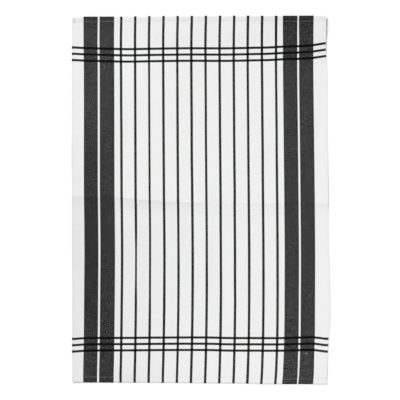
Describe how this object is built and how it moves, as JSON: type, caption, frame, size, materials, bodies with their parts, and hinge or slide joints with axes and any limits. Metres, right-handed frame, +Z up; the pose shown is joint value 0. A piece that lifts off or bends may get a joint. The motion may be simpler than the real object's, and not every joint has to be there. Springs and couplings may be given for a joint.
{
  "type": "tea towel",
  "caption": "Rectangular woven cotton tea towel laid out flat, striped along its length, with stitched end hems, a soft crease across the middle and slightly lifting edges.",
  "frame": {"origin": "the middle of the towel's outline, at the height of the surface that it lies on", "axes": "+X across the towel, +Y along it from the bottom hem to the top hem, +Z up, out of its face"},
  "size_m": [0.4944, 0.705, 0.0054],
  "materials": {
    "cotton": "matt, plain woven"
  },
  "bodies": {
    "root": {"towel_cloth": "cotton"}
  },
  "joints": []
}
